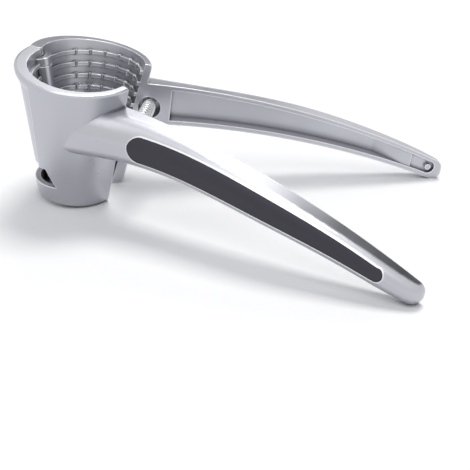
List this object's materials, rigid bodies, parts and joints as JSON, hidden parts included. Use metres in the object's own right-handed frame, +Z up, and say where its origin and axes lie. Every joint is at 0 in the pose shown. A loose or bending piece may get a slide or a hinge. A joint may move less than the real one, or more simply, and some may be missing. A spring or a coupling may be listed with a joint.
{
  "type": "lever nutcracker press",
  "caption": "Hand lever press for cracking nuts: two half cups lined with stepped toothed ribs close on a leaning hinge pin, pushed apart by a coil spring.",
  "frame": {"origin": "on the surface the tool stands on, under the middle of its box: halfway along its length and on the parting plane between the jaws", "axes": "+Z up, +X from the hinge towards the handle tips, +Y from the front jaw to the rear jaw; the parting plane is y = 0"},
  "size_m": [0.1936, 0.1262, 0.0708],
  "materials": {
    "satin_casting": "satin, fine tumbled die casting",
    "steel_pin": "ground",
    "soft_grip": "matt",
    "spring_wire": "drawn bright wire"
  },
  "bodies": {
    "front_half": {"front_jaw": "satin_casting", "hinge_pin": "steel_pin", "front_grip_inlay": "soft_grip", "return_spring": "spring_wire"},
    "rear_half": {"rear_jaw": "satin_casting", "rear_grip_inlay": "soft_grip"}
  },
  "joints": [
    {"name": "jaw_hinge", "type": "hinge", "parent": "front_half", "child": "rear_half", "pos_m": [-0.09086, 0, 0.0702], "axis": [-0.0434, 0, 0.9991], "range_deg": [-34.7, 0], "stiffness_Nm_per_rad": 3.5, "springref_deg": 5.73, "deforming": ["return_spring"]}
  ]
}
